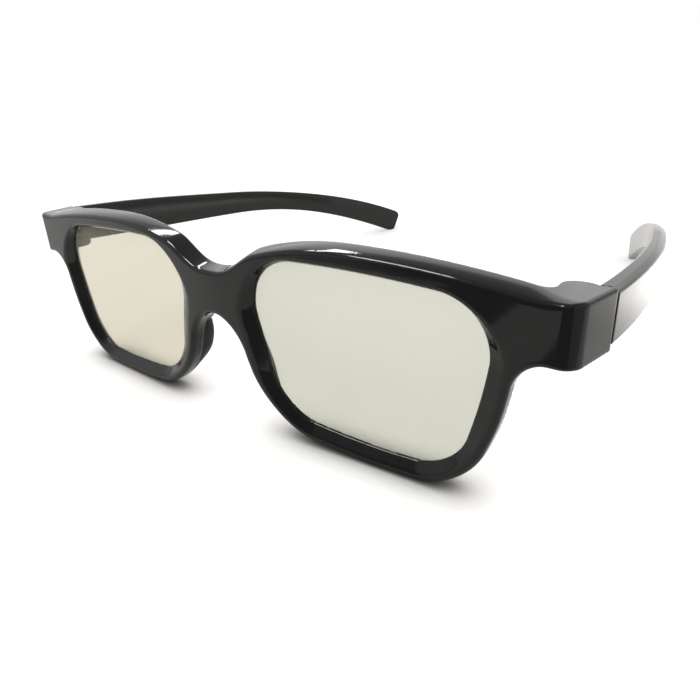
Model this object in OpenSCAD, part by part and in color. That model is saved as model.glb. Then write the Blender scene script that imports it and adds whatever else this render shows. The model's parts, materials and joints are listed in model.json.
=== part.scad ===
// Passive 3D glasses: a one-piece front with a bevelled brow, two laminated polarising lenses,
// each clamped by a rear ring that carries a nose pad, and two temples that fold on steel pins.
// Millimetres. +X is the wearer's left, the front faces -Y, the temples run towards +Y.
// Each half is drawn in its own upright plane: u across, d backwards from the front face,
// z upwards from the lower corners of the lens opening. The halves are swept back by a small
// angle, and the whole is leaned until the rims and the temple tips stand on Z = 0.

/* [Lens opening] */
// Gap between the two openings at their top nose corners, before rounding
gap_top = 15.5; // [12:0.1:18]
// Gap between the two openings at their bottom nose corners, before rounding
gap_bottom = 31.4; // [28:0.2:36]
// Width of an opening along its top edge, before rounding
opening_top_w = 54; // [50:0.2:55]
// Width of an opening along its bottom edge, before rounding
opening_bottom_w = 39.6; // [35:0.2:42]
// Height of an opening between its top and bottom corners
opening_h = 31.2; // [28:0.2:35]
// Drop of an opening's outer corners below its nose corners
outer_drop = 1.4; // [0:0.1:2]
// Outward bulge of the top, outer and bottom edges
edge_bulge = 1.3; // [0.4:0.1:2]
// Bow of the nose edge into the opening
nose_bow = 0.9; // [0:0.1:1.4]
// Run of the rounding along each edge at the top nose corner
round_nose_top = 14.2; // [9:0.2:15]
// Run of the rounding at the top outer corner
round_outer_top = 9.6; // [6:0.2:12]
// Run of the rounding at the bottom outer corner
round_outer_bottom = 7; // [5:0.2:10]
// Run of the rounding at the bottom nose corner
round_nose_bottom = 9.4; // [6:0.2:12]

/* [Front] */
// Width of the front between its outer corners
front_w = 148; // [144:0.5:156]
// Angle by which each half sweeps back
wrap = 2.9; // [1:0.1:4]
// Thickness of the front plate
plate_t = 2.9; // [2.6:0.1:3.4]
// Depth of the brow and the bridge
brow_d = 4.6; // [4:0.1:6]
// Rim width on the outer side of the lens
rim_outer_w = 4.3; // [4.2:0.1:4.8]
// Rim width on the nose side of the lens
rim_nose_w = 5.5; // [5:0.1:5.8]
// Rim width below the lens
rim_bottom_w = 3.6; // [3.4:0.1:4.4]
// Width of the flat land outside the dished face, on the outer side of the lens
land_outer_w = 0.9; // [0.6:0.1:1.6]
// Width of the flat land on the nose side of the lens
land_nose_w = 2.2; // [1.4:0.1:2.8]
// Width of the flat land below the lens
land_bottom_w = 1.4; // [1:0.1:2]
// Width of the dished face above the lens, under the brow
dish_top_w = 0.8; // [0.4:0.1:1.2]
// Thickness of the lip at the inner edge of the dished face
lip_t = 0.6; // [0.4:0.1:1]
// Height of the brow's top above the top edge of the opening
brow_h = 4.8; // [4.4:0.1:5.6]
// Fall of the brow's top from its crown to the end piece
brow_fall = 2.4; // [1.4:0.1:3]
// Fall of the brow's top from its crown to the middle of the bridge
brow_dip = 7.6; // [6:0.1:8.4]
// Height of the bevel along the brow
bevel_h = 1; // [0.6:0.1:1.4]
// Depth of the bevel along the brow
bevel_d = 2.7; // [1.5:0.1:3.4]
// Drop of the bridge's top below the top edge of the opening
bridge_drop = 3.1; // [2.5:0.1:4]
// Height of the bridge at the middle
bridge_h = 9.9; // [8.6:0.1:10.6]

/* [End piece] */
// Height of the end piece
end_h = 10.2; // [10:0.1:11]
// Height of the end piece's top above the top edge of the opening
end_lift = 1.4; // [1:0.1:1.8]
// Depth of the end piece, from the front face to the temple's seam
end_d = 10.7; // [10.4:0.1:11.4]
// Outward run of the end piece's side, from its front corner to the seam
end_flare = 2.5; // [1.8:0.1:3]
// Radius of the end piece's front corner
corner_r = 1.2; // [1:0.1:4]
// Radius of the notch under the end piece
notch_r = 4.6; // [3:0.1:5]

/* [Lenses] */
// Thickness of the quarter-wave retarder film, at the front of the laminate
retarder_t = 0.15; // [0.1:0.01:0.2]
// Thickness of the polariser film
polariser_t = 0.2; // [0.15:0.01:0.3]
// Thickness of the clear backing sheet
backing_t = 0.45; // [0.3:0.01:0.7]
// Lap of the lens behind the edge of the opening
lens_lap = 2.2; // [2:0.1:2.3]
// Clearance round the lens in its seat
lens_gap = 0.15; // [0.05:0.01:0.2]

/* [Retainer rings] */
// Thickness of a ring behind the front plate
ring_t = 1.2; // [1.1:0.1:1.6]
// Setback of a ring's inner edge from the edge of the opening
ring_back = 1.5; // [1.3:0.1:1.6]
// Thickness of a ring at its inner edge
ring_lip_t = 0.3; // [0.2:0.05:0.5]
// Width of the slope from a ring's inner edge to its full thickness
ring_slope_w = 1.7; // [1:0.1:2]
// Width of the flat outside that slope, where a ring is narrow
ring_flat_w = 0.5; // [0.4:0.1:0.6]
// Reach of a ring above the opening, under the brow
ring_top_w = 2.5; // [2.4:0.1:2.8]
// Inset of a ring from the edge of the rim
ring_inset = 0.25; // [0.1:0.05:0.4]
// Clearance between a ring and the brow
ring_gap = 0.1; // [0.05:0.05:0.2]
// Diameter of a locating peg
peg_d = 1; // [0.8:0.1:1.2]
// Length of a locating peg
peg_l = 1; // [0.6:0.1:1.4]
// Clearance round a peg and past its end
peg_gap = 0.1; // [0.05:0.05:0.15]
// Height of the nose pad behind the ring
pad_h = 2.5; // [1.6:0.1:2.8]
// Setback of the foot of the pad's lens side from the edge of the opening
pad_back = 2.9; // [2.4:0.1:3.2]
// Width of the pad's crest along its outer side
pad_crest_w = 0.6; // [0.4:0.1:1.2]
// Step from the ring's outer edge to the pad's outer side
pad_step = 0.15; // [0.1:0.05:0.3]
// Radius of the nose pad's swelling, seen from the side
pad_r = 20; // [16:1:30]

/* [Hinge] */
// Distance of the hinge axis inside the front's outer corner
hinge_in = 2.4; // [2:0.1:2.8]
// Distance of the hinge axis behind the front face
hinge_back = 8.4; // [8:0.1:8.8]
// Radius of the rounded ears
ear_r = 3.1; // [2.6:0.1:3.4]
// Thickness of the lower ear
ear_t = 2.2; // [1.8:0.1:2.6]
// Height of the temple's knuckle between the ears
knuckle_h = 5.6; // [4.6:0.1:5.8]
// Radius of the temple's knuckle
knuckle_r = 2.9; // [2.4:0.1:3]
// Clearance between the knuckle and each ear
knuckle_gap = 0.1; // [0.05:0.05:0.2]
// Clearance of the moving temple round the ears and in its slot
swing_gap = 0.35; // [0.3:0.05:0.5]
// Gap at the seam between the end piece and the temple
seam_gap = 0.1; // [0.05:0.05:0.2]
// Diameter of the steel hinge pin
pin_d = 1.6; // [1.2:0.1:2]
// Diameter of the pin's head
head_d = 2.6; // [2.2:0.1:3]
// Thickness of the pin's head
head_t = 0.7; // [0.5:0.1:0.9]
// Length of the pin inside the upper ear
pin_hold = 1.2; // [0.8:0.1:1.4]
// Radial clearance of the pin in the temple's knuckle
running_gap = 0.05; // [0.02:0.01:0.1]
// Radial clearance of the pin in the ears
seat_gap = 0.01; // [0.01:0.01:0.02]

/* [Temples] */
// Length of a temple along the depth, from the seam to its tip
temple_l = 129; // [118:0.5:140]
// Thickness of a temple
temple_t = 3; // [2.4:0.1:3.4]
// Outward angle of the temple at the hinge
splay = 5.3; // [4:0.1:6]
// Inward angle of the temple at its tip
toe_in = 15.7; // [12:0.1:18]
// How far the tip lies inside the hinge end
tip_in = 18.8; // [15:0.1:22]
// Height of the temple at the hinge
temple_h = 9.7; // [9.2:0.1:9.8]
// Height of the temple at its waist
waist_h = 6.5; // [5.5:0.1:8]
// Height of the temple at its tip
tip_h = 8.4; // [6:0.1:9]
// Distance of the waist from the seam
waist_at = 78; // [60:1:90]
// Distance of the start of the ear bend from the seam
bend_at = 56; // [45:1:70]
// Downward slope of the temple before the bend, in degrees
temple_slope = 3; // [2:0.1:4]
// Extra drop of the tip below that slope
tip_drop = 14.8; // [12:0.1:17]
// Radius of the tip's corners
tip_r = 2.4; // [1:0.1:3]

/* [Hidden] */

// Steps along an edge and round a corner of the opening, along the brow and along a temple
edge_steps = 6;
corner_steps = 9;
brow_steps = 28;
temple_steps = 26;
round_fn = 64;
// Depth of the small flats where the rims and tips stand
flat_cut = 0.15;
// Overshoot of a cut past the face that it opens
past = 1;
black = [0.05, 0.05, 0.055];
clear = [0.80, 0.82, 0.76, 0.35];

function lerp(a, b, t) = a + (b - a) * t;
function ease(t) = let (c = min(max(t, 0), 1)) c * c * (3 - 2 * c);
function unit(v) = v / norm(v);
function left_of(v) = [-v.y, v.x];
// Conic arc from a to b that leaves and arrives along the lines to m
conic_w = 0.72;
function conic(a, m, b, t) =
  let (w0 = (1 - t) * (1 - t), w1 = 2 * conic_w * t * (1 - t), w2 = t * t)
  (a * w0 + m * w1 + b * w2) / (w0 + w1 + w2);

// Opening: four bulged edges, clockwise from the top nose corner, joined by conic corners
corners = [
  [gap_top / 2, opening_h], [gap_top / 2 + opening_top_w, opening_h - outer_drop],
  [gap_bottom / 2 + opening_bottom_w, -outer_drop], [gap_bottom / 2, 0]
];
runs = [round_nose_top, round_outer_top, round_outer_bottom, round_nose_bottom];
bulges = [edge_bulge, edge_bulge, edge_bulge, -nose_bow];
function edge_l(i) = norm(corners[(i + 1) % 4] - corners[i]);
function on_edge(i, t) =
  let (a = corners[i], b = corners[(i + 1) % 4])
  lerp(a, b, t) + unit(left_of(b - a)) * bulges[i] * 4 * t * (1 - t);
function edge_start(i) = runs[i] / edge_l(i);
function edge_end(i) = 1 - runs[(i + 1) % 4] / edge_l(i);
opening = [
  for (i = [0:3]) each concat(
    [for (k = [0:edge_steps]) on_edge(i, lerp(edge_start(i), edge_end(i), k / edge_steps))],
    [for (k = [1:corner_steps - 1])
      conic(on_edge(i, edge_end(i)), corners[(i + 1) % 4],
            on_edge((i + 1) % 4, edge_start((i + 1) % 4)), k / corner_steps)]
  )
];
per_edge = edge_steps + corner_steps;
points = len(opening);
function outward(i) =
  unit(left_of(opening[(i + 1) % points] - opening[(i + points - 1) % points]));
// The opening moved outwards by a width that may differ from point to point
function grown(widths) = [for (i = [0:points - 1]) opening[i] + outward(i) * widths[i]];
function all_round(w) = [for (p = opening) w];

// Rim: narrow below the lens, wider beside it
rim_rise = 13;
mid_u = (corners[2].x + corners[3].x) / 2;
rim_w = [
  for (p = opening)
    lerp(rim_bottom_w, p.x > mid_u ? rim_outer_w : rim_nose_w, ease(p.y / rim_rise))
];
rim = grown(rim_w);
rim_from = per_edge + 1;
rim_to = 3 * per_edge + 2;

// How far up the lens a point lies between the sides and the brow, from 0 to 1
brow_turn = 12;
function under_brow(i) = ease((opening[i].y - opening_h + brow_turn) / brow_turn);
land_w = [
  for (p = opening)
    lerp(land_bottom_w, p.x > mid_u ? land_outer_w : land_nose_w, ease(p.y / rim_rise))
];
dish_w = [for (i = [0:points - 1]) lerp(rim_w[i] - land_w[i], dish_top_w, under_brow(i))];

// Ring: the rim's width at the sides and below, narrow under the brow
ring_w = [for (i = [0:points - 1]) lerp(rim_w[i] - ring_inset, ring_top_w, under_brow(i))];
ring_outline = grown(ring_w);
// The pocket for the ring runs out past the rim below the bridge and the end piece
pocket_from = 15;
pocket_turn = 4;
pocket_w = [
  for (i = [0:points - 1])
    ring_w[i] + lerp(ring_inset + past, ring_gap, ease((opening[i].y - pocket_from) / pocket_turn))
];

// Brow: an eased rise from the bridge to a shallow crown, then a fall to the end piece
end_u = front_w / 2;
end_top = opening_h + end_lift;
end_bottom = end_top - end_h;
bridge_top = opening_h - bridge_drop;
bridge_bottom = bridge_top - bridge_h;
crown_share = 0.46;
crown_u = gap_top / 2 + opening_top_w * crown_share;
bridge_run = 13;
taper_run = 9;
function rise(u) = ease(abs(u) / bridge_run);
function taper(u) = ease((u - end_u + taper_run) / taper_run);
function crown(u) =
  opening_h + brow_h
  - (u < crown_u ? brow_dip * pow(1 - u / crown_u, 2)
                 : brow_fall * pow((u - crown_u) / (end_u - taper_run - crown_u), 2));
function brow_rear(u) = lerp(lerp(bridge_top, crown(u), rise(u)), end_top, taper(u));
// Shares of the bevel that are left at the bridge and at the outer corner
bridge_bevel = 0.6;
end_bevel = 0.1;
function bevel_at(u) = bevel_h * lerp(bridge_bevel, 1, rise(u)) * lerp(1, end_bevel, taper(u));
function brow_front(u) = brow_rear(u) - bevel_at(u);
sky = 1.5 * opening_h;

// Outline of one half, clockwise from the top of the mid-plane
rim_start = rim[rim_from];
rim_stop = rim[rim_to];
start_dir = unit(rim[rim_from] - rim[rim_from + 1]);
stop_dir = unit(rim[rim_to] - rim[rim_to - 1]);
notch_mid = rim_start + start_dir * (end_bottom - rim_start.y) / start_dir.y;
arch_mid = rim_stop + stop_dir * (bridge_bottom - rim_stop.y) / stop_dir.y;
half_outline = concat(
  [[0, sky], [end_u - corner_r, sky], [end_u - corner_r, end_bottom]],
  [for (k = [0:corner_steps - 1])
    conic([notch_mid.x + notch_r, end_bottom], notch_mid, rim_start, k / corner_steps)],
  [for (i = [rim_from:rim_to]) rim[i]],
  [for (k = [1:corner_steps])
    conic(rim_stop, arch_mid, [0, bridge_bottom], k / corner_steps)]
);

// Hinge
hinge = [end_u - hinge_in, hinge_back];
knuckle_z = end_bottom + ear_t + knuckle_gap;
slot_r = knuckle_r + swing_gap;
pin_r = pin_d / 2;
pin_top = knuckle_z + knuckle_h + knuckle_gap + pin_hold;
lens_t = retarder_t + polariser_t + backing_t;
lens_d = plate_t - lens_t;

// Temple: a cubic in plan, a slope and a parabolic bend in side view
temple_u0 = end_u + end_flare - temple_t;
top_drop = 0.1;
temple_z0 = end_top - temple_h / 2 - top_drop;
function plan_u(t) =
  temple_u0 + tan(splay) * temple_l * (t - 2 * t * t + t * t * t)
  - tip_in * (3 * t * t - 2 * t * t * t) - tan(toe_in) * temple_l * (t * t * t - t * t);
function plan_slope(t) =
  tan(splay) * (1 - 4 * t + 3 * t * t) - tip_in * 6 * (t - t * t) / temple_l
  - tan(toe_in) * (3 * t * t - 2 * t);
bend_k = tip_drop / pow(temple_l - bend_at, 2);
function past_bend(s) = max(s - bend_at, 0);
function mid_z(s) = temple_z0 - tan(temple_slope) * s - bend_k * pow(past_bend(s), 2);
function mid_slope(s) = -tan(temple_slope) - 2 * bend_k * past_bend(s);
// Length behind the seam that keeps the full height
full_l = 10;
function height_at(s) =
  s < waist_at ? lerp(temple_h, waist_h, ease((s - full_l) / (waist_at - full_l)))
               : lerp(waist_h, tip_h, ease((s - waist_at) / (temple_l - waist_at)));
function edge_at(s, side) =
  [s, mid_z(s)] + unit([-mid_slope(s), 1]) * side * height_at(s) / 2;
// Side view as [distance from the seam, z], with a rounded tip
tip_dir = unit([1, mid_slope(temple_l)]);
tip_up = left_of(tip_dir);
tip_mid = [temple_l, mid_z(temple_l)];
function tip_corner(side, t) =
  tip_mid + tip_up * side * (tip_h / 2 - tip_r + tip_r * sin(t)) + tip_dir * tip_r * (cos(t) - 1);
body_end = 1 - tip_r / temple_l;
tip_step = 15;
function step_s(k) = lerp(-past, body_end * temple_l, k / temple_steps);
side_view = concat(
  [for (k = [0:temple_steps]) edge_at(step_s(k), 1)],
  [for (t = [90 - tip_step:-tip_step:0]) tip_corner(1, t)],
  [for (t = [0:tip_step:90 - tip_step]) tip_corner(-1, t)],
  [for (k = [temple_steps:-1:0]) edge_at(step_s(k), -1)]
);
function plan_edge(t, side) =
  [plan_u(t) + side * temple_t * norm([1, plan_slope(t)]), t * temple_l];
plan_over = 1.05;
plan_view = concat(
  [for (k = [0:temple_steps]) plan_edge(k / temple_steps * plan_over, 0)],
  [for (k = [temple_steps:-1:0]) plan_edge(k / temple_steps * plan_over, 1)]
);

// Standing: the lean that brings the rims' rear lower edge and the tips' lower edge level
sit_z = min([for (p = rim) p.y]);
sit_u = [for (p = rim) if (p.y == sit_z) p.x][0];
sit_y = sit_u * sin(wrap) + plate_t * cos(wrap);
tip_low = tip_corner(-1, 90 - tip_step);
tip_low_y = plan_u(1) * sin(wrap) + (end_d + seam_gap + tip_low.x) * cos(wrap);
lean = atan2(tip_low.y - sit_z, tip_low_y - sit_y);
lift = sit_y * sin(lean) - sit_z * cos(lean) - flat_cut;
// Depth of the whole: from the foremost point of the rims to the end of the tips
function stood_y(u, d, z) = (u * sin(wrap) + d * cos(wrap)) * cos(lean) + z * sin(lean);
front_y = min([for (p = rim) stood_y(p.x, 0, p.y)]);
rear_y = max([for (p = side_view) stood_y(plan_u(1), end_d + seam_gap + p.x, p.y)]);
mid_y = (front_y + rear_y) / 2;

module stood() {
  translate([0, -mid_y, lift]) rotate([-lean, 0, 0]) children();
}

module floor_cut() {
  difference() {
    children();
    translate([0, 0, -temple_l]) cube(2 * temple_l, center = true);
  }
}

// Places one half: side 1 is the wearer's left, -1 the right
module half(side) {
  mirror([side < 0 ? 1 : 0, 0, 0]) rotate([0, 0, wrap]) children();
}

// Extrudes an outline in u and z from depth d0 to depth d1
module slab(d0, d1) {
  translate([0, d1, 0]) rotate([90, 0, 0]) linear_extrude(d1 - d0) children();
}

// Everything above the bevel and the top of the brow, cut away along the whole half
module above_brow() {
  us = [for (k = [0:brow_steps]) lerp(-past, end_u + end_flare + past, k / brow_steps)];
  rear = end_d + 2 * ear_r;
  ring_n = 5;
  pts = [
    for (u = us) each [
      [u, -past, brow_front(u) - past * bevel_at(u) / bevel_d],
      [u, bevel_d, brow_rear(u)],
      [u, rear, brow_rear(u)],
      [u, rear, sky + past],
      [u, -past, sky + past]
    ]
  ];
  last = brow_steps * ring_n;
  walls = [
    for (k = [0:brow_steps - 1]) for (j = [0:ring_n - 1])
      let (a = k * ring_n + j, b = k * ring_n + (j + 1) % ring_n)
      each [[a, b + ring_n, b], [a, a + ring_n, b + ring_n]]
  ];
  caps = [
    for (j = [1:ring_n - 2]) each [[0, j, j + 1], [last, last + j + 1, last + j]]
  ];
  polyhedron(pts, concat(walls, caps));
}

// A solid ruled between outlines round the opening, given as stages of widths and a depth
module funnel(stages) {
  pts = [for (s = stages) each [for (p = grown(s[0])) [p.x, s[1], p.y]]];
  last = (len(stages) - 1) * points;
  walls = [
    for (k = [0:len(stages) - 2]) for (i = [0:points - 1])
      let (a = k * points + i, b = k * points + (i + 1) % points)
      each [[a, b + points, b], [a, a + points, b + points]]
  ];
  caps = [[for (i = [0:points - 1]) i], [for (i = [points - 1:-1:0]) last + i]];
  polyhedron(pts, concat(walls, caps));
}

// The dished face, from the land down to the lip of the opening
module dish() {
  deep = lens_d - lip_t;
  funnel([[dish_w * (1 + past / deep), -past], [all_round(0), deep]]);
}

// The hole in a ring: upright at its thin inner edge, then sloped out to the full thickness
module ring_hole() {
  climb = ring_t - ring_lip_t;
  wide = [
    for (w = ring_w)
      ring_back + min(ring_slope_w, w - ring_back - ring_flat_w) * (1 + past / climb)
  ];
  funnel([
    [all_round(ring_back), plate_t - past],
    [all_round(ring_back), plate_t + ring_lip_t],
    [wide, plate_t + ring_t + past]
  ]);
}

// Plan of the end piece and its ears, in u and d
module end_plan() {
  flare = atan2(end_flare, end_d);
  centre = [end_u - corner_r * tan(45 - flare / 2), corner_r];
  polygon(concat(
    [[hinge.x - ear_r, 0]],
    [for (k = [0:corner_steps])
      let (a = lerp(-90, -flare, k / corner_steps))
      [centre.x + corner_r * cos(a), centre.y + corner_r * sin(a)]],
    [[end_u + end_flare, end_d], [hinge.x, end_d], hinge, [hinge.x - ear_r, hinge.y]]
  ));
  translate(hinge) circle(r = ear_r, $fn = round_fn);
}

// Places children upright on the hinge axis at height z
module on_hinge(z) {
  translate([hinge.x, hinge.y, z]) children();
}

// Two pegs on the outer side and two on the nose side
module peg_places() {
  places = [
    for (i = [per_edge + 1, per_edge + 5, 3 * per_edge + 1, 3 * per_edge + 5])
      opening[i] + outward(i) * (lens_lap + lens_gap + rim_w[i] - ring_inset) / 2
  ];
  for (p = places) translate([p.x, 0, p.y]) rotate([-90, 0, 0]) children();
}

module front_half() {
  difference() {
    union() {
      slab(0, brow_d) polygon(half_outline);
      translate([0, 0, end_bottom]) linear_extrude(sky - end_bottom) end_plan();
    }
    slab(-past, brow_d + past) polygon(opening);
    dish();
    slab(lens_d, brow_d) polygon(grown(all_round(lens_lap + lens_gap)));
    slab(plate_t, brow_d + past) polygon(grown(pocket_w));
    above_brow();
    peg_places() translate([0, 0, plate_t - peg_l - peg_gap])
      cylinder(r = peg_d / 2 + peg_gap, h = peg_l + peg_gap + past, $fn = round_fn);
    hinge_cut();
  }
}

// Slot for the temple's knuckle, and the pin's hole and head recess from below
module hinge_cut() {
  slot_h = knuckle_h + 2 * knuckle_gap;
  on_hinge(knuckle_z - knuckle_gap) {
    cylinder(r = slot_r, h = slot_h, $fn = round_fn);
    translate([-end_d, 0, 0]) cube([end_d + slot_r, end_d, slot_h]);
  }
  on_hinge(end_bottom - past)
    cylinder(r = pin_r + seat_gap, h = pin_top + seat_gap - end_bottom + past, $fn = round_fn);
  on_hinge(end_bottom - past)
    cylinder(r = head_d / 2 + seat_gap, h = head_t + past, $fn = round_fn);
}

module front_frame() {
  color(black) floor_cut() stood() {
    half(1) front_half();
    half(-1) front_half();
  }
}

// Ring behind one lens, with its locating pegs and the nose pad
module ring_half() {
  difference() {
    slab(plate_t, plate_t + ring_t) polygon(ring_outline);
    ring_hole();
  }
  nose_pad();
  peg_places() translate([0, 0, plate_t - peg_l])
    cylinder(r = peg_d / 2, h = peg_l + ring_t / 2, $fn = round_fn);
}

// A band along the nose side of the ring, crowned by a large cylinder across it, with a sloped lens side
module nose_pad() {
  from = 2 * per_edge + edge_steps + 3;
  to = 4 * per_edge - corner_steps;
  pad_w = [for (w = ring_w) w - pad_step];
  outer = grown(pad_w);
  inner = grown(all_round(ring_back));
  mid = outer[3 * per_edge + 1];
  root = plate_t + ring_lip_t / 2;
  foot = plate_t + ring_t;
  rear = foot + pad_h;
  slopes = [for (w = pad_w) max(w - pad_crest_w - pad_back, 0) / pad_h];
  difference() {
    intersection() {
      slab(root, rear + past)
        polygon(concat([for (i = [from:to]) outer[i]], [for (i = [to:-1:from]) inner[i]]));
      translate([mid.x, rear - pad_r, mid.y]) rotate([0, 90, 0])
        cylinder(r = pad_r, h = 2 * pad_r, center = true, $fn = 2 * round_fn);
    }
    funnel([
      [[for (k = slopes) pad_back - k * ring_t], plate_t],
      [[for (k = slopes) pad_back + k * (pad_h + past)], rear + past]
    ]);
  }
}

module retainer_ring(side) {
  color(black) floor_cut() stood() half(side) ring_half();
}

// One layer of the lens laminate, from depth d and t thick
module lens_layer(side, d, t) {
  color(clear) stood() half(side) slab(d, d + t) polygon(grown(all_round(lens_lap)));
}

module temple_half() {
  difference() {
    union() {
      difference() {
        translate([0, end_d + seam_gap, 0]) intersection() {
          linear_extrude(2 * sky, center = true) polygon(plan_view);
          rotate([90, 0, 90]) linear_extrude(front_w) polygon(side_view);
        }
        on_hinge(end_bottom - past)
          cylinder(r = ear_r + swing_gap, h = end_h + 3 * past, $fn = round_fn);
      }
      on_hinge(knuckle_z) {
        cylinder(r = knuckle_r, h = knuckle_h, $fn = round_fn);
        linear_extrude(knuckle_h) link_plan();
      }
    }
    on_hinge(knuckle_z - past)
      cylinder(r = pin_r + running_gap, h = knuckle_h + 2 * past, $fn = round_fn);
  }
}

// Neck between the knuckle and the temple, seen from above, with the hinge axis at 0
module link_plan() {
  seam = end_d + seam_gap - hinge.y;
  inner = temple_u0 - hinge.x;
  reach = 4;
  lap = 0.3;
  turn = 130;
  polygon([
    [0, 0], [knuckle_r, 0], [knuckle_r, seam + reach], [inner + lap, seam + reach],
    [knuckle_r * cos(turn), knuckle_r * sin(turn)]
  ]);
}

module temple(side) {
  color(black) floor_cut() stood() half(side) temple_half();
}

module hinge_pin(side) {
  color("silver") stood() half(side) {
    on_hinge(end_bottom) cylinder(r = pin_r, h = pin_top - end_bottom, $fn = round_fn);
    on_hinge(end_bottom) cylinder(r = head_d / 2, h = head_t - seat_gap, $fn = round_fn);
  }
}

front_frame();
retainer_ring(1);  // left_retainer_ring
retainer_ring(-1);  // right_retainer_ring
lens_layer(1, lens_d, retarder_t);  // left_retarder_film
lens_layer(-1, lens_d, retarder_t);  // right_retarder_film
lens_layer(1, lens_d + retarder_t, polariser_t);  // left_polariser_film
lens_layer(-1, lens_d + retarder_t, polariser_t);  // right_polariser_film
lens_layer(1, plate_t - backing_t, backing_t);  // left_backing_sheet
lens_layer(-1, plate_t - backing_t, backing_t);  // right_backing_sheet
temple(1);  // left_temple
temple(-1);  // right_temple
hinge_pin(1);  // left_hinge_pin
hinge_pin(-1);  // right_hinge_pin
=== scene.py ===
"""Looks of a pair of passive 3D glasses: moulded front, retainer rings, laminated lenses, temples."""
import json
import math
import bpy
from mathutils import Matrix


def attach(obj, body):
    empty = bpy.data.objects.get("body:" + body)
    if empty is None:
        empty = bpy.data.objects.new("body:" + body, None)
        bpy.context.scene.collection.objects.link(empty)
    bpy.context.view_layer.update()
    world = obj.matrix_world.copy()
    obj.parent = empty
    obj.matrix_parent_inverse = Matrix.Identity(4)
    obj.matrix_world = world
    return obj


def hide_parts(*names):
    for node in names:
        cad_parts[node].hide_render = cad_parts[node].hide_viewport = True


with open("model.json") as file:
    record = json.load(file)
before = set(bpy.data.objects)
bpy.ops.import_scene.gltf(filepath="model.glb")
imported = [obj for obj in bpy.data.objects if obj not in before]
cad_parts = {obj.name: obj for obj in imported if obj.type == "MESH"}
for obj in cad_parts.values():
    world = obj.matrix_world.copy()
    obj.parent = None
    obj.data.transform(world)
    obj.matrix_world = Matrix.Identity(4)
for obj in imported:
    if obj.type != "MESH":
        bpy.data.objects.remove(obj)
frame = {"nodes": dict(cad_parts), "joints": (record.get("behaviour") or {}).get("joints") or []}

from types import SimpleNamespace

import bpy
import numpy as np
from mathutils import Matrix

bl_info = {
    "name": "Passive 3D glasses",
    "version": (1, 0, 0),
    "blender": (4, 5, 0),
    "location": "View3D > Sidebar > Glasses",
    "description": "Builds the looks of a pair of passive 3D glasses over their packed parts",
    "category": "Object",
}

SIDES = {"left": 1, "right": -1}

# The front's tabled outlines, in millimetres: spacing, lower ends, and room past the end and the height
TABLE_STEP = 0.2
TABLE_LOW = (-1.0, -9.0)
TABLE_ROOM = (5.0, 9.0)
# The front's surface grid, in millimetres: room that it leaves on each side of the moulding
ROOM_BESIDE = 1.0
ROOM_AHEAD = 0.7
ROOM_BEHIND = 0.6
ROOM_BELOW = 3.4
ROOM_ABOVE = 1.0
# The front's shape: step for the brow's slope and reach of the ring pocket past the rim, in millimetres,
# and the taper runs before the corner at which the lower fillet starts to change
SLOPE_STEP = 0.05
POCKET_PAST_RIM = 1.0
FILLET_LEAD = 1.1

# The temples: points round an end, points along the tip, rounding of the chamfers in edge radii
END_STEPS = 9
TIP_STEPS = 12
CHAMFER_ROUND = 1.6

# The nose pad's place on the opening, counted in its eight runs, and the ring's inner edge in millimetres
PAD_FROM = 5.45
PAD_FADE_IN = 0.5
PAD_TO = 7.0
PAD_FADE_OUT = 0.35
RING_LIP_R = 0.08

# Ranges of a noise: where most of it lies, where scuffs grow and where specks of dust start
NOISE_SPAN = (0.3, 0.7)
SCUFF_SPAN = (0.4, 0.75)
DUST_SPAN = (0.74, 0.8)

# The table top, in metres: its front edge, out of the picture, is notched to let the dark side show
# in the nose facets and in the rounded corner
TABLE_TOP = [
    (-3, -0.25), (-0.09, -0.25), (-0.09, -0.205), (-0.002, -0.205), (-0.002, -0.157), (0.03, -0.157),
    (0.03, -0.205), (0.052, -0.205), (0.052, -0.128), (0.25, 0.008), (3, 0.008), (3, 5), (-3, 5)]
# The floor's lift grows with the share of open sky, which paints a contact shade near the object, and with
# the depth in metres, which paints away the shadows round the temple tips behind the middle
OPEN_SHARE = (0.5, 0.97)
BACK_DEPTH = (0.0, 0.045)
# Heights in the sky, as the upward part of a direction, between which the light changes
BAND_RISE = (-0.05, 0.22)
OVERHEAD_RISE = (0.45, 0.8)
WINDOW_FOOT = (0.18, 0.26)
WINDOW_HEAD = (0.58, 0.66)
DARK_HEAD = (0.5, 0.75)
# The camera's sensor in millimetres and its nearest view in metres
SENSOR_W = 36.0
NEAR_CLIP = 0.005


def length(name, words, millimetres):
    """A size, shown in the scene's length unit."""
    return bpy.props.FloatProperty(
        name=name, description=words, default=millimetres * 1e-3, unit="LENGTH", precision=5)


def angle(name, words, degrees):
    """An angle."""
    return bpy.props.FloatProperty(
        name=name, description=words, default=math.radians(degrees), subtype="ANGLE")


def share(name, words, value):
    """A number between nought and one."""
    return bpy.props.FloatProperty(
        name=name, description=words, default=value, min=0.0, max=1.0, subtype="FACTOR")


def number(name, words, value):
    """A plain number."""
    return bpy.props.FloatProperty(name=name, description=words, default=value)


def colour(name, words, rgb):
    """A linear colour."""
    return bpy.props.FloatVectorProperty(
        name=name, description=words, default=rgb, size=3, min=0.0, max=1.0, subtype="COLOR")


def point(name, words, metres):
    """A place in the scene."""
    return bpy.props.FloatVectorProperty(
        name=name, description=words, default=metres, size=3, subtype="TRANSLATION", precision=5)


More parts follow.
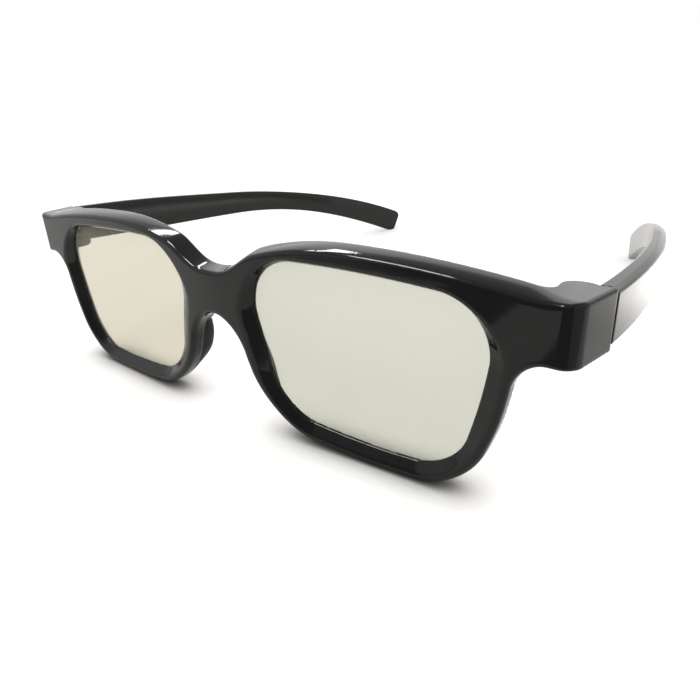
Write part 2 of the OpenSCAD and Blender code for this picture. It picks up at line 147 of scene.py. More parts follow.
class FrontSizes(bpy.types.PropertyGroup):
    """Sizes of the moulded front"""
    gap_top: length("Gap at the top", "Gap between the openings' top nose corners", 15.5)
    gap_bottom: length("Gap at the bottom", "Gap between the openings' bottom nose corners", 31.4)
    opening_top_w: length("Opening top width", "Width of an opening along its top edge", 54)
    opening_bottom_w: length("Opening bottom width", "Width of an opening along its bottom", 39.6)
    opening_h: length("Opening height", "Height of an opening between its corners", 31.2)
    outer_drop: length("Outer drop", "Drop of the outer corners below the nose corners", 1.4)
    edge_bulge: length("Edge bulge", "Outward bulge of the top, outer and bottom edges", 1.3)
    nose_bow: length("Nose bow", "Bow of the nose edge into the opening", 0.9)
    round_nose_top: length("Top nose round", "Run of the top nose corner's rounding", 14.2)
    round_outer_top: length("Top outer round", "Run of the top outer corner's rounding", 9.6)
    round_outer_bottom: length("Bottom outer round", "Run of the bottom outer corner", 7)
    round_nose_bottom: length("Bottom nose round", "Run of the bottom nose corner", 9.4)
    conic: share("Corner fullness", "Weight of the corners' conic arcs", 0.72)
    front_w: length("Front width", "Width between the outer corners", 148)
    wrap: angle("Wrap", "Angle by which each half sweeps back", 2.9)
    centre_r: length("Centre blend", "Half width of the blend between the two halves", 6)
    plate_t: length("Plate thickness", "Thickness of the front plate", 2.9)
    brow_d: length("Brow depth", "Depth of the brow and the bridge", 4.6)
    rim_outer_w: length("Outer rim", "Rim width on the outer side of the lens", 4.3)
    rim_nose_w: length("Nose rim", "Rim width on the nose side of the lens", 5.5)
    rim_bottom_w: length("Bottom rim", "Rim width below the lens", 3.6)
    rim_rise: length("Rim rise", "Height over which the rim widens", 13)
    land_outer_w: length("Outer land", "Width of the land on the outer side of the lens", 0.9)
    land_nose_w: length("Nose land", "Width of the land on the nose side of the lens", 2.2)
    land_bottom_w: length("Bottom land", "Width of the land below the lens", 1.4)
    dish_top_w: length("Dish under the brow", "Width of the dished face above the lens", 0.8)
    brow_turn: length("Brow turn", "Height over which the dished face narrows", 12)
    lens_d: length("Lens depth", "Depth of the lens behind the front face", 2.1)
    lip_t: length("Lip", "Thickness of the lip at the opening", 0.6)
    seat_w: length("Seat", "Width of the lens seat behind the lip", 2.35)
    brow_h: length("Brow height", "Height of the brow's top above the opening", 4.8)
    brow_fall: length("Brow fall", "Fall of the brow from its crown to the end piece", 2.4)
    brow_dip: length("Brow dip", "Fall of the brow from its crown to the bridge", 7.6)
    crown_share: share("Crown place", "Place of the crown along the opening's top edge", 0.46)
    bevel_h: length("Bevel height", "Height of the bevel along the brow", 1)
    bevel_d: length("Bevel depth", "Depth of the bevel along the brow", 2.7)
    bridge_bevel: share("Bevel at the bridge", "Share of the bevel left at the bridge", 0.6)
    end_bevel: share("Bevel at the corner", "Share of the bevel left at the corner", 0.1)
    bridge_drop: length("Bridge drop", "Drop of the bridge's top below the opening's top", 3.1)
    bridge_h: length("Bridge height", "Height of the bridge at the middle", 9.9)
    bridge_run: length("Bridge run", "Half width over which the brow rises", 13)
    taper_run: length("Taper run", "Length over which the brow runs into the end piece", 9)
    end_h: length("End height", "Height of the end piece", 10.2)
    end_lift: length("End lift", "Height of the end piece's top above the opening", 1.4)
    end_d: length("End depth", "Depth of the end piece", 10.7)
    end_flare: length("End flare", "Outward run of the end piece's side", 2.5)
    corner_r: length("Front corner", "Radius of the end piece's front corner", 2.4)
    notch_r: length("Notch", "Radius of the notch under the end piece", 4.6)
    hinge_in: length("Hinge inset", "Distance of the hinge inside the outer corner", 2.4)
    hinge_back: length("Hinge setback", "Distance of the hinge behind the front face", 8.4)
    ear_r: length("Ear radius", "Radius of the rounded ears", 3.1)
    ear_t: length("Ear thickness", "Thickness of the lower ear", 2.2)
    boss_blend: length("Boss blend", "Radius between the brow's rear and the hinge boss", 2.5)
    knuckle_h: length("Knuckle height", "Height of the temple's knuckle", 5.6)
    knuckle_r: length("Knuckle radius", "Radius of the temple's knuckle", 2.9)
    knuckle_gap: length("Knuckle gap", "Clearance between the knuckle and each ear", 0.1)
    swing_gap: length("Swing gap", "Clearance of the moving temple round the ears", 0.35)
    pin_d: length("Pin", "Diameter of the hinge pin", 1.6)
    head_d: length("Pin head", "Diameter of the pin's head", 2.6)
    head_t: length("Pin head thickness", "Thickness of the pin's head", 0.7)
    rim_fillet: length("Rim fillet", "Radius of the rim's outer front edge", 1.1)
    end_fillet: length("End fillet", "Radius of the end piece's lower front edge", 0.35)
    top_fillet: length("Top fillet", "Radius of the edges round the brow's top", 0.6)
    rear_fillet: length("Rear fillet", "Radius of the rear edges", 0.5)
    dish_fillet: length("Dish fillet", "Radius between the land and the dished face", 0.35)
    lip_fillet: length("Lip fillet", "Radius of the lip's edge", 0.2)
    cell: length("Cell", "Spacing of the front's surface points", 0.29)


class RingSizes(bpy.types.PropertyGroup):
    """Sizes of the retainer rings and nose pads"""
    ring_t: length("Thickness", "Thickness of a ring behind the front plate", 1.2)
    ring_back: length("Setback", "Setback of the inner edge from the opening", 1.5)
    ring_lip_t: length("Inner thickness", "Thickness of a ring at its inner edge", 0.3)
    ring_slope_w: length("Slope", "Width of the slope behind the inner edge", 1.7)
    ring_flat_w: length("Flat", "Width of the flat outside that slope", 0.5)
    ring_top_w: length("Top reach", "Reach of a ring above the opening", 2.5)
    ring_inset: length("Inset", "Inset of a ring from the edge of the rim", 0.25)
    ring_gap: length("Clearance", "Clearance between a ring and the brow", 0.1)
    pocket_from: length("Pocket start", "Height above which the brow surrounds the ring", 15)
    pocket_turn: length("Pocket turn", "Height over which the pocket's wall closes in", 4)
    ring_edge_r: length("Edge", "Radius of a ring's outer edge", 0.3)
    pad_h: length("Pad height", "Height of the nose pad behind the ring", 2.5)
    pad_back: length("Pad setback", "Setback of the pad's foot from the opening", 2.9)
    pad_crest_w: length("Pad crest", "Width of the pad's crest along its outer side", 0.75)
    pad_r: length("Pad swelling", "Radius of the pad seen from the side", 20)
    pad_edge: length("Pad edge", "Radius of the pad's edges", 0.7)


class LensSizes(bpy.types.PropertyGroup):
    """Sizes of the lens laminates"""
    retarder_t: length("Retarder", "Thickness of the retarder film", 0.15)
    polariser_t: length("Polariser", "Thickness of the polariser film", 0.2)
    backing_t: length("Backing", "Thickness of the clear backing sheet", 0.45)
    lens_lap: length("Lap", "Lap of the lens behind the edge of the opening", 2.2)
    glue_t: length("Glue", "Gap left between two layers", 0.006)


class TempleSizes(bpy.types.PropertyGroup):
    """Sizes of the temples"""
    seam_gap: length("Seam", "Gap between the end piece and the temple", 0.1)
    temple_l: length("Length", "Length along the depth, from the seam to the tip", 129)
    temple_t: length("Thickness", "Thickness of a temple", 3)
    splay: angle("Splay", "Outward angle at the hinge", 5.3)
    toe_in: angle("Toe-in", "Inward angle at the tip", 15.7)
    tip_in: length("Tip inset", "How far the tip lies inside the hinge end", 18.8)
    temple_h: length("Height", "Height at the hinge", 9.7)
    waist_h: length("Waist", "Height at the waist", 6.5)
    tip_h: length("Tip height", "Height at the tip", 8.4)
    full_l: length("Full length", "Length behind the seam that keeps the full height", 10)
    waist_at: length("Waist place", "Distance of the waist from the seam", 78)
    bend_at: length("Bend place", "Distance of the ear bend from the seam", 56)
    slope: angle("Slope", "Downward slope before the bend", 3)
    tip_drop: length("Tip drop", "Extra drop of the tip below that slope", 14.8)
    tip_r: length("Tip radius", "Radius of the tip's corners", 2.4)
    top_drop: length("Top drop", "Step down from the end piece's top", 0.1)
    chamfer_w: length("Chamfer width", "Width of the chamfers along the outer edges", 1.2)
    chamfer_h: length("Chamfer height", "Height of the chamfers along the outer edges", 0.7)
    edge_r: length("Edge", "Radius of the long edges", 0.45)
    end_r: length("End edge", "Radius round the end of the tip", 0.6)
    seam_r: length("Seam edge", "Radius round the seam face", 0.25)
    pin_gap: length("Pin clearance", "Radial clearance of the pin in the knuckle", 0.05)
    neck: length("Neck", "Reach of the knuckle's neck along the temple", 4)


class Finishes(bpy.types.PropertyGroup):
    """Colours and finishes"""
    plastic: colour("Plastic", "Black moulded plastic", (0.003, 0.003, 0.0028))
    plastic_haze: colour("Plastic haze", "Dust and fine scuffs on the plastic", (0.02, 0.019, 0.018))
    plastic_rough: share("Plastic roughness", "Roughness of the moulded gloss", 0.08)
    plastic_gloss: share("Plastic gloss", "Specular level of the plastic", 0.25)
    satin: colour("Satin plastic", "Satin plastic of the temples", (0.014, 0.0138, 0.0125))
    satin_rough: share("Satin roughness", "Roughness of the temples", 0.16)
    film_left: colour("Left film", "Polariser film of the wearer's left lens", (0.68, 0.685, 0.615))
    film_right: colour("Right film", "Polariser film of the wearer's right lens", (0.74, 0.705, 0.61))
    film_pass: share("Film pass", "Share of the light that goes straight through a film surface", 0.9)
    clear: colour("Clear sheet", "Clear sheets of the laminate", (0.75, 0.75, 0.66))
    clear_alpha: share("Clear density", "Density of the clear sheets, seen square on", 0.01)
    clear_edge: share("Clear edge density", "Added density of the clear sheets at a low angle", 0.1)
    steel: colour("Steel", "Steel of the hinge pins", (0.62, 0.61, 0.59))


class StageSettings(bpy.types.PropertyGroup):
    """Camera, floor and lights"""
    camera_target: point(
        "Camera target", "Point on the front that the camera looks at", (0.036918, 0.0, 0.0189))
    camera_distance: length("Camera distance", "Distance of the camera from its target", 103.24)
    camera_azimuth: angle("Camera azimuth", "Turn of the camera round the object", 38.71)
    camera_elevation: angle("Camera elevation", "Height of the camera as an angle", 23.908)
    camera_roll: angle("Camera roll", "Roll of the camera", -2.674)
    camera_lens: number("Camera lens", "Focal length in millimetres on a 36 mm sensor", 30.524)
    floor_colour: colour("Floor", "White floor", (0.6, 0.585, 0.555))
    floor_lift: share("Floor lift", "White seen on top of the lit floor", 0.6)
    # Painted shade: within this reach of the object the floor's colour and its lift are darkened
    shade_reach: length("Shade reach", "Distance over which the floor near the object loses its lift", 9)
    sky: colour("Sky", "Soft light from all round", (1.0, 1.0, 1.0))
    sky_low: number("Sky at the horizon", "Strength of the soft light at the horizon", 0.75)
    sky_band: number("Sky band", "Strength of the soft light a little above the horizon", 1.2)
    sky_top: number("Sky overhead", "Strength of the soft light overhead", 0.75)
    window_strength: number("Window strength", "Strength of the bright band behind the glasses", 2.0)
    window_way: angle("Window way", "Bearing of that band, from straight behind to the left", 15)
    window_width: angle("Window width", "Half width of that band", 35)
    window_soft: angle("Window edge", "Half width at which that band has ended", 55)
    dark_strength: number("Dark strength", "Strength of the dark side in front of the glasses", 0.38)
    dark_way: angle("Dark way", "Bearing of the dark side, from straight in front to the right", 8)
    dark_width: angle("Dark width", "Half width of the dark side", 32)
    dark_soft: angle("Dark edge", "Half width at which the dark side has ended", 42)
    pool_power: number("Pool power", "Power of the spot on the floor beside the glasses, in watts", 16.0)
    pool_at: point("Pool place", "Place of that spot", (0.12, 0.075, 0.35))
    pool_aim: point("Pool aim", "Point on the floor that the spot faces", (0.109, 0.06, 0.0))
    pool_cone: angle("Pool cone", "Opening angle of the spot", 16.0428)
    pool_soft: share("Pool edge", "Share of the spot's cone that fades out", 0.6)
    pool_r: length("Pool size", "Radius of the spot itself, which softens its shadows", 20)
    fill_power: number("Fill power", "Power of the broad lamp in front, in watts", 1.6)
    fill_at: point("Fill place", "Place of that lamp", (-0.15, -0.75, 0.65))
    fill_w: length("Fill width", "Width of that lamp", 500)
    ceiling_glow: number("Ceiling glow", "Power of the ceiling lamps for each square metre, in watts", 70.0)
    ceiling_aim: length("Ceiling aim", "Height of the points that the ceiling lamps face", 40)
    strip_at: point("Strip place", "Place of the long ceiling lamp", (-0.42, 0.115, 0.54))
    strip_l: length("Strip length", "Length of the long ceiling lamp", 450)
    strip_w: length("Strip width", "Width of the long ceiling lamp", 60)
    square_at: point("Square place", "Place of the square ceiling lamp", (-0.184, -0.19, 0.54))
    square_w: length("Square width", "Width of the square ceiling lamp", 180)


GROUPS = {
    "glasses_front": FrontSizes, "glasses_ring": RingSizes, "glasses_lens": LensSizes,
    "glasses_temple": TempleSizes, "glasses_finish": Finishes, "glasses_stage": StageSettings,
}


def sizes(context):
    """All sizes as plain numbers, lengths in millimetres, with the values that follow from them."""
    s = SimpleNamespace()
    for name in ("glasses_front", "glasses_ring", "glasses_lens", "glasses_temple"):
        group = getattr(context.scene, name)
        for key in group.__annotations__:
            scale = 1e3 if group.bl_rna.properties[key].unit == "LENGTH" else 1.0
            setattr(s, key, getattr(group, key) * scale)
    s.end_u = s.front_w / 2
    s.end_top = s.opening_h + s.end_lift
    s.end_bottom = s.end_top - s.end_h
    s.bridge_top = s.opening_h - s.bridge_drop
    s.bridge_bottom = s.bridge_top - s.bridge_h
    s.hinge_u, s.hinge_d = s.end_u - s.hinge_in, s.hinge_back
    s.knuckle_z = s.end_bottom + s.ear_t + s.knuckle_gap
    s.slot_r = s.knuckle_r + s.swing_gap
    s.seam_d = s.end_d + s.seam_gap
    # The stance comes from the fold joint: its axis gives the lean, its place the rest
    joint = frame["joints"][0]
    axis = joint["axis"]
    s.lean = math.atan2(axis[1], axis[2])
    y = s.hinge_u * math.sin(s.wrap) + s.hinge_d * math.cos(s.wrap)
    z = s.knuckle_z + s.knuckle_h / 2
    s.mid_y = y * math.cos(s.lean) + z * math.sin(s.lean) - joint["pos_m"][1] * 1e3
    s.lift = joint["pos_m"][2] * 1e3 + y * math.sin(s.lean) - z * math.cos(s.lean)
    return s


def ease(t):
    """Smooth step from 0 to 1."""
    c = np.clip(t, 0, 1)
    return c * c * (3 - 2 * c)


def lerp(a, b, t):
    """Straight mix of a and b."""
    return a + (b - a) * t


def round_max(a, b, r):
    """Intersection of two distance fields with a convex edge rounded by radius r."""
    return np.minimum(np.maximum(a, b), -r) + np.hypot(np.maximum(a + r, 0), np.maximum(b + r, 0))


def round_min(a, b, r):
    """Union of two distance fields with the inner corner filled by radius r."""
    return np.maximum(np.minimum(a, b), r) - np.hypot(np.maximum(r - a, 0), np.maximum(r - b, 0))


def conic(a, m, b, t, weight):
    """Conic arc from a to b that leaves and arrives along the lines to m."""
    t = np.asarray(t)[..., None]
    w0, w1, w2 = (1 - t) ** 2, 2 * weight * t * (1 - t), t * t
    return (a * w0 + m * w1 + b * w2) / (w0 + w1 + w2)


def stand(s, x, y, z):
    """From the upright front's frame to the part's frame, leaned and lifted; points as rows."""
    c, n = math.cos(s.lean), math.sin(s.lean)
    return np.stack([x, y * c + z * n - s.mid_y, np.maximum(z * c - y * n + s.lift, 0)], -1)


def place(s, side, u, d, z):
    """From one half's u, d and z to the part's frame."""
    c, n = math.cos(s.wrap), math.sin(s.wrap)
    return stand(s, side * (u * c - d * n), u * n + d * c, z)


def new_piece(name, points, quads, caps=(), smooth=True):
    """A mesh object of whole arrays: points in millimetres, quads as rows, caps as longer faces."""
    mesh = bpy.data.meshes.new(name)
    loops = [np.asarray(quads, np.int32).ravel()] + [np.asarray(c, np.int32) for c in caps]
    totals = np.concatenate([np.full(len(quads), 4)] + [[len(c)] for c in caps]).astype(np.int32)
    mesh.vertices.add(len(points))
    mesh.vertices.foreach_set("co", (np.asarray(points, np.float32) * 1e-3).ravel())
    flat = np.concatenate(loops).astype(np.int32)
    mesh.loops.add(len(flat))
    mesh.loops.foreach_set("vertex_index", flat)
    mesh.polygons.add(len(totals))
    mesh.polygons.foreach_set("loop_start", np.concatenate([[0], np.cumsum(totals)[:-1]]).astype(np.int32))
    mesh.polygons.foreach_set("use_smooth", np.full(len(totals), smooth))
    mesh.update(calc_edges=True)
    if mesh.validate():
        raise RuntimeError(f"{name} has faces that don't hold together")
    piece = bpy.data.objects.new(name, mesh)
    bpy.context.scene.collection.objects.link(piece)
    return piece


def join_parts(parts):
    """Several (points, quads, caps) as one."""
    points, quads, caps, at = [], [], [], 0
    for p, q, c in parts:
        points.append(p)
        quads.append(np.asarray(q) + at)
        caps += [np.asarray(f) + at for f in c]
        at += len(p)
    return np.concatenate(points), np.concatenate(quads), caps


def swept(grid, closed=False):
    """A grid of points, each row a closed section, as (points, quads, caps): the last row runs on
    into the first, or both end rows are capped."""
    rows, columns = grid.shape[:2]
    i = np.arange(rows if closed else rows - 1)[:, None]
    j = np.arange(columns)[None]
    i1, j1 = (i + 1) % rows, (j + 1) % columns
    quads = np.stack([i * columns + j, i * columns + j1, i1 * columns + j1, i1 * columns + j], -1)
    caps = [] if closed else [j[0, ::-1], (rows - 1) * columns + j[0]]
    return grid.reshape(-1, 3), quads.reshape(-1, 4), caps


def opening_curve(s, steps=24):
    """The lens opening, clockwise from its top nose corner: four bulged edges joined by conic
    corners. Returns the points in u and z, and their outward normals."""
    c = np.array([
        [s.gap_top / 2, s.opening_h], [s.gap_top / 2 + s.opening_top_w, s.opening_h - s.outer_drop],
        [s.gap_bottom / 2 + s.opening_bottom_w, -s.outer_drop], [s.gap_bottom / 2, 0]])
    runs = np.array([s.round_nose_top, s.round_outer_top, s.round_outer_bottom, s.round_nose_bottom])
    bulge = np.array([s.edge_bulge, s.edge_bulge, s.edge_bulge, -s.nose_bow])
    edge = np.roll(c, -1, 0) - c
    long = np.hypot(*edge.T)
    out = np.stack([-edge[:, 1], edge[:, 0]], 1) / long[:, None]
    first, last = runs / long, 1 - np.roll(runs, -1) / long

    def on_edge(t):
        return (c[:, None] + edge[:, None] * t[..., None]
                + out[:, None] * (bulge[:, None] * 4 * t * (1 - t))[..., None])

    t = np.arange(steps) / steps
    straight = on_edge(lerp(first[:, None], last[:, None], t[None]))
    leave, arrive = on_edge(last[:, None]), np.roll(on_edge(first[:, None]), -1, 0)
    corner = conic(leave, np.roll(c, -1, 0)[:, None], arrive, np.broadcast_to(t, (4, steps)), s.conic)
    points = np.concatenate([straight, corner], 1).reshape(-1, 2)
    along = np.roll(points, -1, 0) - np.roll(points, 1, 0)
    normal = np.stack([-along[:, 1], along[:, 0]], 1)
    return points, normal / np.hypot(*normal.T)[:, None]


def beside(s, u, z, bottom, outer, nose):
    """A width that differs below the lens, on its outer side and on its nose side."""
    middle = (s.gap_bottom + s.opening_bottom_w) / 2
    return lerp(bottom, np.where(u > middle, outer, nose), ease(z / s.rim_rise))


def rim_width(s, u, z):
    """Rim width beside a point of the opening."""
    return beside(s, u, z, s.rim_bottom_w, s.rim_outer_w, s.rim_nose_w)


def land_width(s, u, z):
    """Width of the land outside the dished face beside a point of the opening."""
    return beside(s, u, z, s.land_bottom_w, s.land_outer_w, s.land_nose_w)


def under_brow(s, z):
    """0 beside the lens, 1 above it."""
    return ease((z - s.opening_h + s.brow_turn) / s.brow_turn)


def lower_outline(s, opening, normal):
    """Closed outline of everything above the front's lower edge: end piece, notch, rim, nose arch."""
    steps = len(opening) // 8
    # The rim runs from a sixth of the way down the outer edge to a third of the way up the nose edge
    rim = opening + normal * rim_width(s, *opening.T)[:, None]
    rim = rim[2 * steps + steps // 6:6 * steps + steps // 3 + 1]
    lead, leave = rim[0] - rim[1], rim[-1] - rim[-2]
    notch = rim[0] + lead * (s.end_bottom - rim[0, 1]) / lead[1]
    arch = rim[-1] + leave * (s.bridge_bottom - rim[-1, 1]) / leave[1]
    t = np.linspace(0, 1, steps + 1)
    far, sky = 2 * s.end_u, 2 * s.opening_h
    return np.concatenate([
        [[-far, sky], [far, sky], [far, s.end_bottom]],
        conic(np.array([notch[0] + s.notch_r, s.end_bottom]), notch, rim[0], t[:-1], s.conic),
        rim,
        conic(rim[-1], arch, np.array([0, s.bridge_bottom]), t[1:], s.conic),
        [[-far, s.bridge_bottom]]])


def outline_field(outline, low, high, step):
    """Signed distance to a closed outline, negative inside, tabled on a grid in u and z and read
    back by straight interpolation; u is taken as mirrored."""
    us, zs = np.arange(low[0], high[0], step), np.arange(low[1], high[1], step)
    u, z = us[:, None], zs[None]
    near, inside = np.full((len(us), len(zs)), np.inf), np.zeros((len(us), len(zs)), bool)
    for a, b in zip(outline, np.roll(outline, -1, 0)):
        e = b - a
        t = np.clip(((u - a[0]) * e[0] + (z - a[1]) * e[1]) / (e @ e), 0, 1)
        near = np.minimum(near, (u - a[0] - t * e[0]) ** 2 + (z - a[1] - t * e[1]) ** 2)
        if e[1]:
            inside ^= ((a[1] > z) != (b[1] > z)) & (u < a[0] + (z - a[1]) * e[0] / e[1])
    table = np.where(inside, -1, 1) * np.sqrt(near)

    def at(u, z):
        # Held just inside the table, so that each reading has a next row and column
        fu = np.clip((np.abs(u) - low[0]) / step, 0, len(us) - 1.001)
        fz = np.clip((z - low[1]) / step, 0, len(zs) - 1.001)
        i, k = fu.astype(int), fz.astype(int)
        a, b = fu - i, fz - k
        return lerp(lerp(table[i, k], table[i + 1, k], a), lerp(table[i, k + 1], table[i + 1, k + 1], a), b)

    return at


def front_field(s):
    """The front as a field of signed distance in u, d and z: the outline between the front face and
    the rear, under the bevelled brow, with rounded edges; less the openings, their dished faces, the
    lens seats, the ring pockets and the hinge slots."""
    opening, normal = opening_curve(s)
    high = (s.end_u + TABLE_ROOM[0], s.opening_h + TABLE_ROOM[1])
    open_at = outline_field(opening, TABLE_LOW, high, TABLE_STEP)
    low_at = outline_field(lower_outline(s, opening, normal), TABLE_LOW, high, TABLE_STEP)
    crown_u = s.gap_top / 2 + s.opening_top_w * s.crown_share
    deep = s.lens_d - s.lip_t
    slot_h = s.knuckle_h + 2 * s.knuckle_gap

    def near_end(u, lead=1.0):
        return ease((u - s.end_u) / s.taper_run + lead)

    def brow_rear(u):
        fall = np.where(u < crown_u, s.brow_dip * (1 - u / crown_u) ** 2,
                        s.brow_fall * ((u - crown_u) / (s.end_u - s.taper_run - crown_u)) ** 2)
        crown = s.opening_h + s.brow_h - fall
        return lerp(lerp(s.bridge_top, crown, ease(u / s.bridge_run)), s.end_top, near_end(u))

    def field(u, d, z):
        a = np.abs(u)
        # Top: the flat and the bevel in front of it, which keeps its slope as it narrows to the corner
        top = brow_rear(a)
        before, after = np.maximum(a - SLOPE_STEP, 0), a + SLOPE_STEP
        lean = (brow_rear(after) - brow_rear(before)) / (after - before)
        bevel = s.bevel_h * lerp(s.bridge_bevel, 1, ease(a / s.bridge_run))
        steep = bevel / s.bevel_d
        bevel = bevel * lerp(1, s.end_bevel, near_end(a))
        flat = (z - top) / np.sqrt(1 + lean ** 2)
        ramp = (z - top + bevel - steep * d) / np.sqrt(1 + lean ** 2 + steep ** 2)
        above = round_max(flat, ramp, s.top_fillet)
        # Face and side, lower outline, rear with the hinge boss
        side = ((a - s.end_u) * s.end_d - s.end_flare * d) / math.hypot(s.end_d, s.end_flare)
        face = round_max(-d, side, s.corner_r)
        hinge = np.hypot(a - s.hinge_u, d - s.hinge_d)
        boss = np.minimum(np.maximum(s.hinge_u - s.ear_r - a, d - s.hinge_d),
                          np.maximum(s.hinge_u - a, d - s.end_d))
        rear = round_min(d - s.brow_d, np.minimum(boss, hinge - s.ear_r), s.boss_blend)
        fillet = lerp(s.rim_fillet, s.end_fillet, near_end(a, FILLET_LEAD))
        body = round_max(face, low_at(u, z), fillet)
        body = round_max(body, above, s.top_fillet)
        body = round_max(body, rear, s.rear_fillet)
        # Opening with its dished face, lens seat and ring pocket
        gap = open_at(u, z)
        width = rim_width(s, a, z)
        over = under_brow(s, z)
        dish_w = lerp(width - land_width(s, a, z), s.dish_top_w, over)
        dish = (gap - dish_w * (1 - d / deep)) / np.sqrt(1 + (dish_w / deep) ** 2)
        body = round_max(body, -dish, s.dish_fillet)
        body = round_max(body, -gap, s.lip_fillet)
        body = np.maximum(body, -np.maximum(gap - s.seat_w, s.lens_d - d))
        ring_w = lerp(width - s.ring_inset, s.ring_top_w, over)
        walled = ease((z - s.pocket_from) / s.pocket_turn)
        pocket_w = ring_w + lerp(s.ring_inset + POCKET_PAST_RIM, s.ring_gap, walled)
        body = np.maximum(body, -np.maximum(gap - pocket_w, s.plate_t - d))
        # Hinge slot and the pin's head
        slot = np.minimum(hinge - s.slot_r, np.maximum(s.hinge_d - d, a - s.hinge_u - s.slot_r))
        middle = s.knuckle_z + s.knuckle_h / 2
        body = round_max(body, -np.maximum(slot, np.abs(z - middle) - slot_h / 2), s.lip_fillet)
        body = np.maximum(body, -np.maximum(hinge - s.head_d / 2, z - s.end_bottom - s.head_t))
        ground = ((a * math.sin(s.wrap) + d * math.cos(s.wrap)) * math.sin(s.lean)
                  - z * math.cos(s.lean) - s.lift)
        return np.maximum(body, ground)

    return field


def surface_net(field, low, high, cell, rounds=5, probe=0.05, least_square=0.2):
    """Surface of a field's zero level: one point for each cell that it passes through, and one quad
    for each grid edge that it crosses. The points move onto the level in rounds, along the slope that
    a probe of that share of a cell finds; the slope's square counts as no less than least_square."""
    axes = [np.arange(a, b + cell, cell) for a, b in zip(low, high)]
    inside = field(axes[0][:, None, None], axes[1][None, :, None], axes[2][None, None]) < 0
    n = [c - 1 for c in inside.shape]
    count = sum(inside[i:n[0] + i, j:n[1] + j, k:n[2] + k].astype(np.int8)
                for i in (0, 1) for j in (0, 1) for k in (0, 1))
    mixed = (count > 0) & (count < 8)
    index = np.full(mixed.shape, -1, np.int64)
    index[mixed] = np.arange(mixed.sum())
    points = (np.argwhere(mixed) + 0.5) * cell + [a[0] for a in axes]
    quads = []
    for axis in range(3):
        state, at = np.moveaxis(inside, axis, 0), np.moveaxis(index, axis, 0)
        i, j, k = np.nonzero(state[:-1, 1:-1, 1:-1] != state[1:, 1:-1, 1:-1])
        j, k = j + 1, k + 1
        quad = np.stack([at[i, j - 1, k - 1], at[i, j, k - 1], at[i, j, k], at[i, j - 1, k]], 1)
        turn = state[i, j, k] == (axis == 1)
        quads.append(np.where(turn[:, None], quad[:, ::-1], quad))
    step = cell * probe
    for _ in range(rounds):
        value = field(*points.T)
        slope = np.stack([(field(*(points + e).T) - field(*(points - e).T)) / (2 * step)
                          for e in np.eye(3) * step], 1)
        move = (value / np.maximum((slope ** 2).sum(1), least_square))[:, None] * slope
        points = points - np.clip(move, -cell, cell)
    return points, np.concatenate(quads)


def rounded_path(corners, radii, steps=6):
    """A closed path through corners (clockwise or not), each rounded by its radius."""
    c = np.asarray(corners, float)
    back, on = np.roll(c, 1, 0) - c, np.roll(c, -1, 0) - c
    back, on = back / np.hypot(*back.T)[:, None], on / np.hypot(*on.T)[:, None]
    half = np.arccos(np.clip((back * on).sum(1), -1, 1)) / 2
    r = np.asarray(radii, float)
    run = (r / np.tan(half))[:, None]
    middle = back + on
    centre = c + middle / np.hypot(*middle.T)[:, None] * (r / np.sin(half))[:, None]
    first, last = c + back * run - centre, c + on * run - centre
    swing = np.arctan2(first[:, 0] * last[:, 1] - first[:, 1] * last[:, 0], (first * last).sum(1))
    t = np.linspace(0, 1, steps)[None] * swing[:, None]
    x = first[:, :1] * np.cos(t) - first[:, 1:] * np.sin(t)
    y = first[:, :1] * np.sin(t) + first[:, 1:] * np.cos(t)
    return (np.stack([x, y], -1) + centre[:, None]).reshape(-1, 2)


